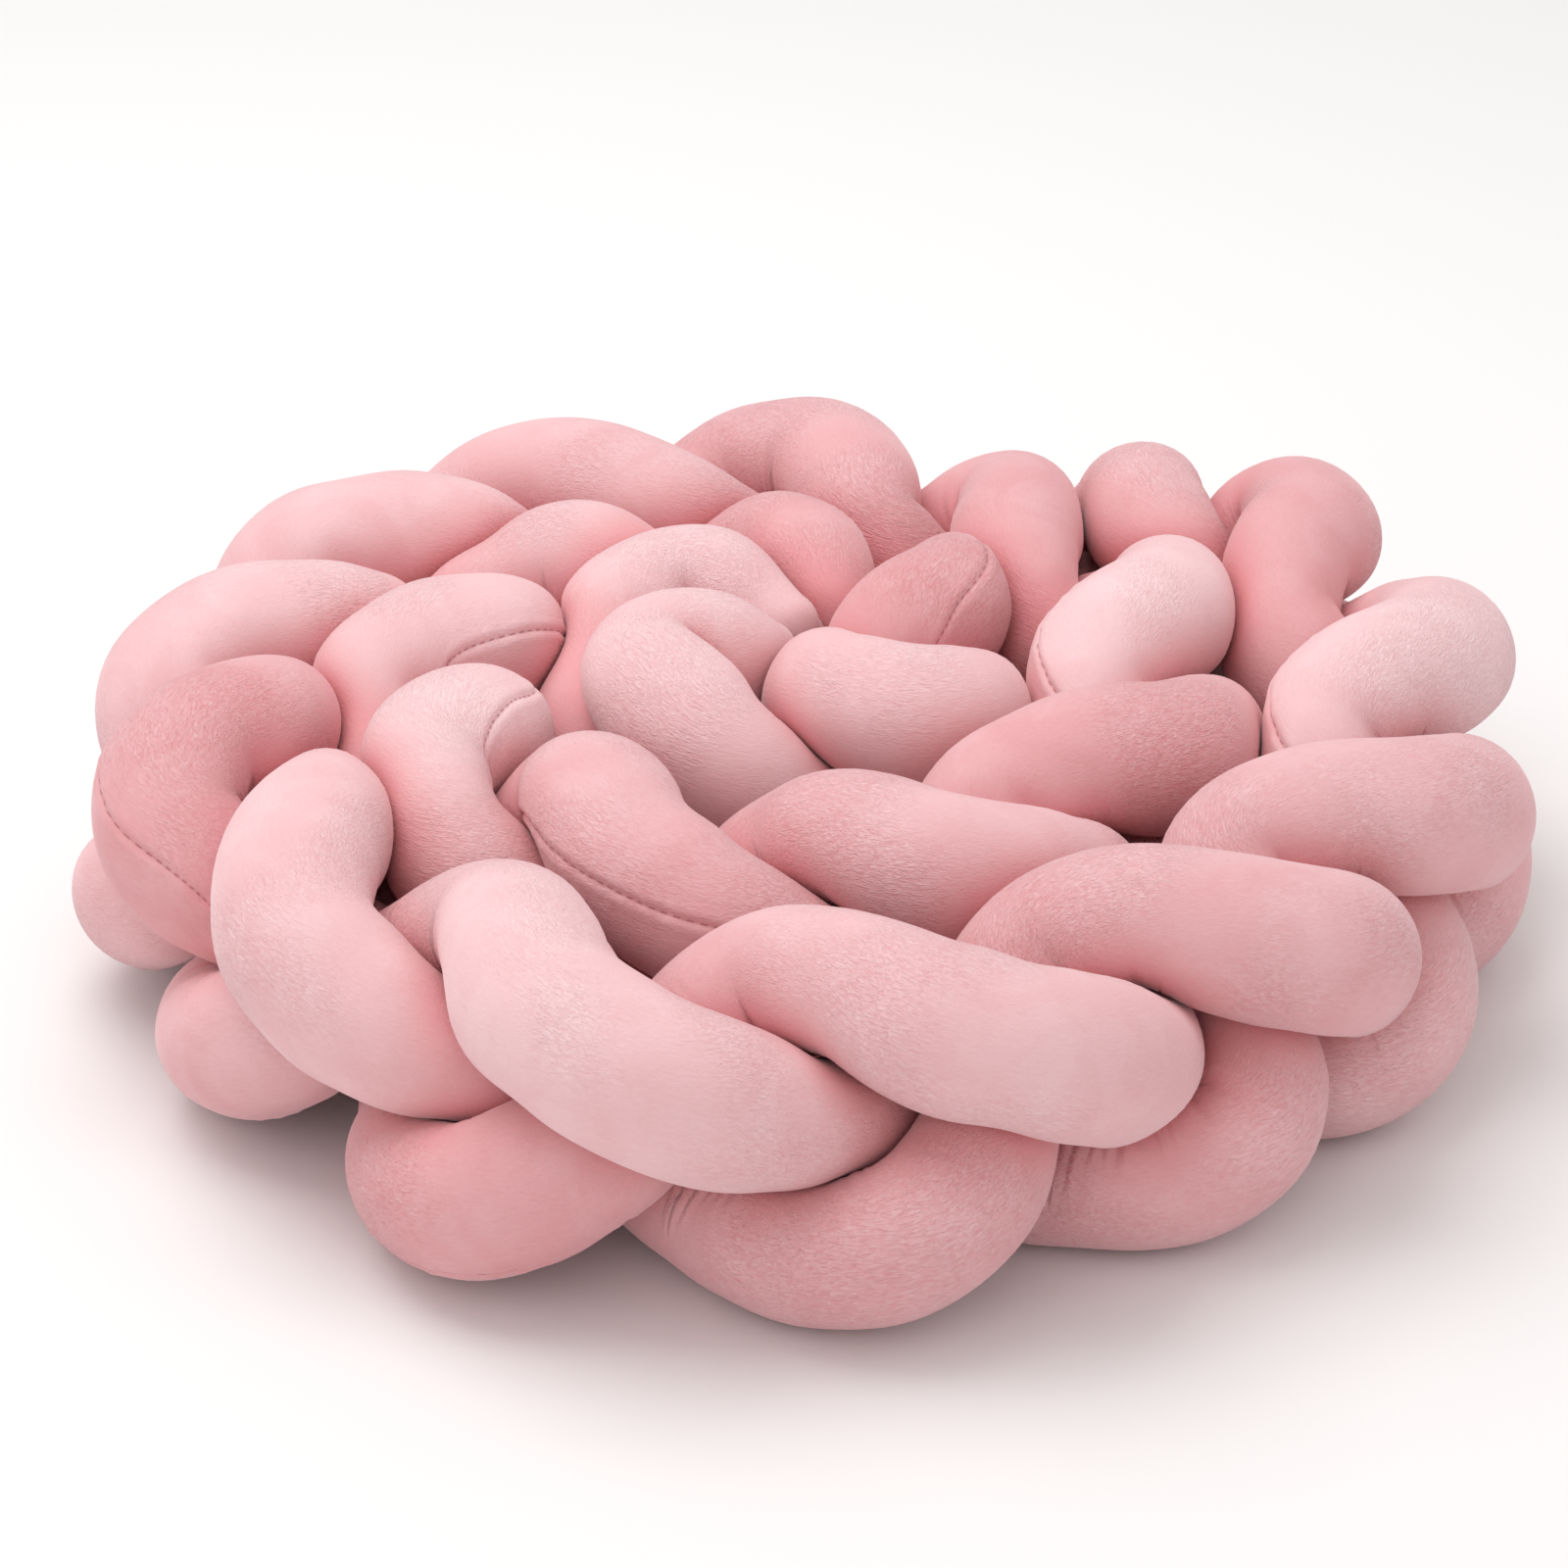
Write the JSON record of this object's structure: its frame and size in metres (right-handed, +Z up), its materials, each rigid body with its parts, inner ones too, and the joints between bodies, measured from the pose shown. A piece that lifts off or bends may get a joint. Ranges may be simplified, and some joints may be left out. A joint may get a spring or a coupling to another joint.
{
  "type": "braided crib bumper",
  "caption": "Soft crib bumper: stuffed velvet tubes plaited flat and rolled up on edge into a coil that lies on the floor.",
  "frame": {"origin": "middle of the coil's footprint, on the floor", "axes": "+Z up from the floor, -Y towards the side that the picture shows, +X to the right in the picture"},
  "size_m": [0.6912, 0.689, 0.1816],
  "materials": {
    "velvet": "soft short-pile velvet"
  },
  "bodies": {
    "root": {"strand_a": "velvet", "strand_b": "velvet", "strand_c": "velvet"}
  },
  "joints": []
}
